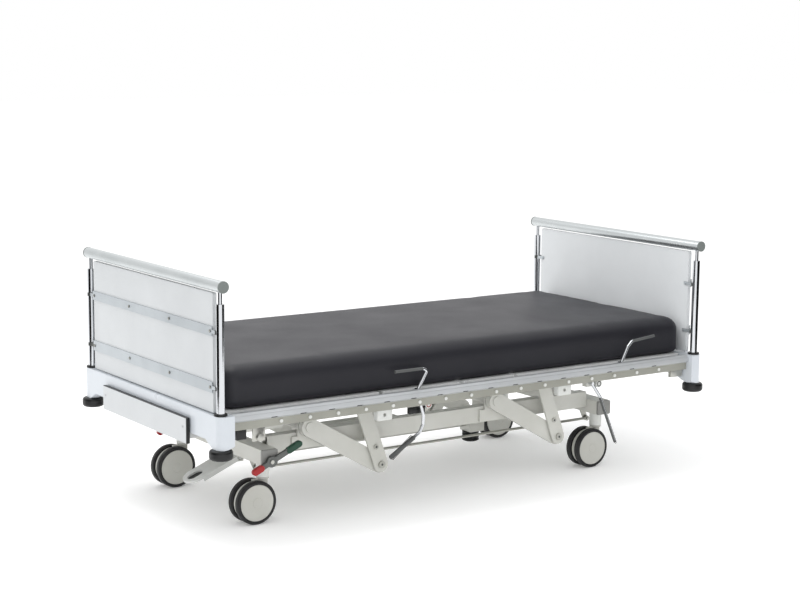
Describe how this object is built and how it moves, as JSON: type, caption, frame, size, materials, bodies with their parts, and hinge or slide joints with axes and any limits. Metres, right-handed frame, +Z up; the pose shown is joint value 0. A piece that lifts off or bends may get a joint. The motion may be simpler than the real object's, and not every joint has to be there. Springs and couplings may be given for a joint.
{
  "type": "adjustable hospital bed",
  "caption": "Height-adjustable hospital bed on twin castors with lift-off end boards, tilting backrest and knee sections, side levers, brake pedals and linen shelf.",
  "frame": {"origin": "on the floor under the middle of the bed", "axes": "+X to the head end, +Y to the patient's left side seen lying on the back, +Z up"},
  "size_m": [2.128, 1.0378, 0.8656],
  "materials": {
    "chassis_paint": "satin powder coat, warm light grey",
    "hydraulic_paint": "satin paint",
    "plated_steel": "zinc plated",
    "grey_steel": "satin grey paint",
    "pad_plastic": "moulded, red and green",
    "pedal_metal": "silver-white powder coat",
    "cap_plastic": "moulded grey",
    "rail_aluminium": "anodised, satin",
    "frame_paint": "gloss white powder coat",
    "bumper_rubber": "black",
    "collar_plastic": "black",
    "fitting_paint": "white",
    "panel_laminate": "compact laminate, light grey",
    "chrome_tube": "polished chrome plate",
    "top_rail_aluminium": "anodised, satin",
    "board_laminate": "light grey laminate",
    "tray_plastic": "light grey",
    "mattress_cover": "coated charcoal cover over foam",
    "caster_body": "moulded light grey",
    "caster_tyre": "black tread, light grey side cover"
  },
  "bodies": {
    "chassis": {"chassis_long_beams": "chassis_paint", "chassis_cross_beams": "chassis_paint", "beam_end_caps": "cap_plastic", "caster_housings": "chassis_paint", "arm_pivot_brackets": "chassis_paint", "lift_cylinder_barrel": "hydraulic_paint", "hydraulic_pump": "hydraulic_paint"},
    "lift_arm_head": {"lift_arm_head": "chassis_paint"},
    "lift_arm_foot": {"lift_arm_foot": "chassis_paint"},
    "cylinder_rod": {"lift_cylinder_rod": "plated_steel"},
    "brake_foot": {"brake_shaft_foot": "plated_steel", "brake_pedals": "grey_steel", "brake_pads": "pad_plastic"},
    "brake_head": {"brake_shaft_head": "plated_steel"},
    "brake_link": {"brake_link_rod": "plated_steel"},
    "pump_pedal": {"pump_pedal": "pedal_metal"},
    "pump_rod": {"pump_push_rod": "plated_steel"},
    "mattress_frame": {"side_rails": "rail_aluminium", "end_frame_foot": "frame_paint", "end_frame_head": "frame_paint", "frame_cross_members": "chassis_paint", "arm_hangers": "chassis_paint", "corner_bumpers": "bumper_rubber", "socket_collars": "collar_plastic", "rail_studs": "rail_aluminium", "accessory_brackets": "fitting_paint", "seat_panel": "panel_laminate", "mattress_seat": "mattress_cover"},
    "foot_board": {"foot_posts": "chrome_tube", "foot_top_rail": "top_rail_aluminium", "foot_panel": "board_laminate", "foot_cross_bars": "rail_aluminium"},
    "head_board": {"head_posts": "chrome_tube", "head_top_rail": "top_rail_aluminium", "head_panel": "board_laminate", "head_cross_bars": "rail_aluminium"},
    "backrest": {"backrest_panel": "panel_laminate", "backrest_retainers": "chrome_tube", "mattress_back": "mattress_cover"},
    "thigh": {"thigh_panel": "panel_laminate", "thigh_retainers": "chrome_tube", "mattress_thigh": "mattress_cover"},
    "calf": {"calf_panel": "panel_laminate", "mattress_calf": "mattress_cover"},
    "leg_lever": {"leg_lever": "chrome_tube"},
    "backrest_lever": {"backrest_lever": "chrome_tube"},
    "linen_shelf": {"shelf_tray": "tray_plastic", "shelf_front": "board_laminate"},
    "caster_fr": {"caster_fork_fr": "caster_body"},
    "wheel_fr_a": {"wheel_fr_a": "caster_tyre"},
    "wheel_fr_b": {"wheel_fr_b": "caster_tyre"},
    "caster_fl": {"caster_fork_fl": "caster_body"},
    "wheel_fl_a": {"wheel_fl_a": "caster_tyre"},
    "wheel_fl_b": {"wheel_fl_b": "caster_tyre"},
    "caster_hr": {"caster_fork_hr": "caster_body"},
    "wheel_hr_a": {"wheel_hr_a": "caster_tyre"},
    "wheel_hr_b": {"wheel_hr_b": "caster_tyre"},
    "caster_hl": {"caster_fork_hl": "caster_body"},
    "wheel_hl_a": {"wheel_hl_a": "caster_tyre"},
    "wheel_hl_b": {"wheel_hl_b": "caster_tyre"}
  },
  "joints": [
    {"name": "bed_height", "type": "hinge", "parent": "chassis", "child": "lift_arm_head", "pos_m": [0.215, 0, 0.305], "axis": [0, -1, 0], "range_deg": [0, 76]},
    {"name": "foot_arm_swing", "type": "hinge", "parent": "chassis", "child": "lift_arm_foot", "pos_m": [-0.585, 0, 0.305], "axis": [0, -1, 0], "range_deg": [0, 76]},
    {"name": "frame_stays_level", "type": "hinge", "parent": "lift_arm_head", "child": "mattress_frame", "pos_m": [0.50079, 0, 0.14], "axis": [0, -1, 0], "range_deg": [-76, 0]},
    {"name": "lift_cylinder_stroke", "type": "slide", "parent": "chassis", "child": "cylinder_rod", "axis": [1, 0, 0], "range_m": [0, 0.1359]},
    {"name": "backrest_tilt", "type": "hinge", "parent": "mattress_frame", "child": "backrest", "pos_m": [0.195, 0, 0.424], "axis": [0, -1, 0], "range_deg": [0, 70]},
    {"name": "thigh_raise", "type": "hinge", "parent": "mattress_frame", "child": "thigh", "pos_m": [-0.045, 0, 0.424], "axis": [0, 1, 0], "range_deg": [0, 35]},
    {"name": "calf_follow", "type": "hinge", "parent": "thigh", "child": "calf", "pos_m": [-0.385, 0, 0.424], "axis": [0, 1, 0], "range_deg": [-54, 0]},
    {"name": "foot_board_lift", "type": "slide", "parent": "mattress_frame", "child": "foot_board", "axis": [0, 0, 1], "range_m": [0, 0.4]},
    {"name": "head_board_lift", "type": "slide", "parent": "mattress_frame", "child": "head_board", "axis": [0, 0, 1], "range_m": [0, 0.4]},
    {"name": "linen_shelf_pull", "type": "slide", "parent": "mattress_frame", "child": "linen_shelf", "axis": [-1, 0, 0], "range_m": [0, 0.25]},
    {"name": "leg_lever_pull", "type": "hinge", "parent": "mattress_frame", "child": "leg_lever", "pos_m": [-0.223, 0, 0.376], "axis": [0, 1, 0], "range_deg": [0, 35]},
    {"name": "backrest_lever_pull", "type": "hinge", "parent": "mattress_frame", "child": "backrest_lever", "pos_m": [0.554, 0, 0.358], "axis": [0, -1, 0], "range_deg": [0, 35]},
    {"name": "brake_pedal", "type": "hinge", "parent": "chassis", "child": "brake_foot", "pos_m": [-0.763, 0, 0.218], "axis": [0, 1, 0], "range_deg": [0, 50]},
    {"name": "brake_head_shaft", "type": "hinge", "parent": "chassis", "child": "brake_head", "pos_m": [0.705, 0, 0.218], "axis": [0, 1, 0], "range_deg": [0, 50]},
    {"name": "brake_link_pivot", "type": "hinge", "parent": "brake_foot", "child": "brake_link", "pos_m": [-0.73764, -0.21, 0.16362], "axis": [0, 1, 0], "range_deg": [-50, 0]},
    {"name": "pump_pedal_stroke", "type": "hinge", "parent": "chassis", "child": "pump_pedal", "pos_m": [-0.69, 0, 0.18], "axis": [0, -1, 0], "range_deg": [0, 16], "stiffness_Nm_per_rad": 20, "springref_deg": -14.32},
    {"name": "pump_rod_stroke", "type": "slide", "parent": "chassis", "child": "pump_rod", "axis": [1, 0, 0], "range_m": [0, 0.0085]},
    {"name": "caster_swivel_fr", "type": "hinge", "parent": "chassis", "child": "caster_fr", "pos_m": [-0.763, -0.29, 0.075], "axis": [0, 0, 1], "continuous": true},
    {"name": "wheel_spin_fr_a", "type": "hinge", "parent": "caster_fr", "child": "wheel_fr_a", "pos_m": [-0.803, -0.29, 0.075], "axis": [0, 1, 0], "continuous": true},
    {"name": "wheel_spin_fr_b", "type": "hinge", "parent": "caster_fr", "child": "wheel_fr_b", "pos_m": [-0.803, -0.29, 0.075], "axis": [0, 1, 0], "continuous": true},
    {"name": "caster_swivel_fl", "type": "hinge", "parent": "chassis", "child": "caster_fl", "pos_m": [-0.763, 0.29, 0.075], "axis": [0, 0, 1], "continuous": true},
    {"name": "wheel_spin_fl_a", "type": "hinge", "parent": "caster_fl", "child": "wheel_fl_a", "pos_m": [-0.803, 0.29, 0.075], "axis": [0, 1, 0], "continuous": true},
    {"name": "wheel_spin_fl_b", "type": "hinge", "parent": "caster_fl", "child": "wheel_fl_b", "pos_m": [-0.803, 0.29, 0.075], "axis": [0, 1, 0], "continuous": true},
    {"name": "caster_swivel_hr", "type": "hinge", "parent": "chassis", "child": "caster_hr", "pos_m": [0.705, -0.29, 0.075], "axis": [0, 0, 1], "continuous": true},
    {"name": "wheel_spin_hr_a", "type": "hinge", "parent": "caster_hr", "child": "wheel_hr_a", "pos_m": [0.665, -0.29, 0.075], "axis": [0, 1, 0], "continuous": true},
    {"name": "wheel_spin_hr_b", "type": "hinge", "parent": "caster_hr", "child": "wheel_hr_b", "pos_m": [0.665, -0.29, 0.075], "axis": [0, 1, 0], "continuous": true},
    {"name": "caster_swivel_hl", "type": "hinge", "parent": "chassis", "child": "caster_hl", "pos_m": [0.705, 0.29, 0.075], "axis": [0, 0, 1], "continuous": true},
    {"name": "wheel_spin_hl_a", "type": "hinge", "parent": "caster_hl", "child": "wheel_hl_a", "pos_m": [0.665, 0.29, 0.075], "axis": [0, 1, 0], "continuous": true},
    {"name": "wheel_spin_hl_b", "type": "hinge", "parent": "caster_hl", "child": "wheel_hl_b", "pos_m": [0.665, 0.29, 0.075], "axis": [0, 1, 0], "continuous": true}
  ],
  "couplings": [
    {"joint": "foot_arm_swing", "follows": "bed_height", "ratio": 1},
    {"joint": "frame_stays_level", "follows": "bed_height", "ratio": -1},
    {"joint": "lift_cylinder_stroke", "follows": "bed_height", "m_per_rad": 0.10211},
    {"joint": "calf_follow", "follows": "thigh_raise", "ratio": -1.54},
    {"joint": "brake_head_shaft", "follows": "brake_pedal", "ratio": 1},
    {"joint": "brake_link_pivot", "follows": "brake_pedal", "ratio": -1},
    {"joint": "pump_rod_stroke", "follows": "pump_pedal_stroke", "m_per_rad": 0.03}
  ]
}
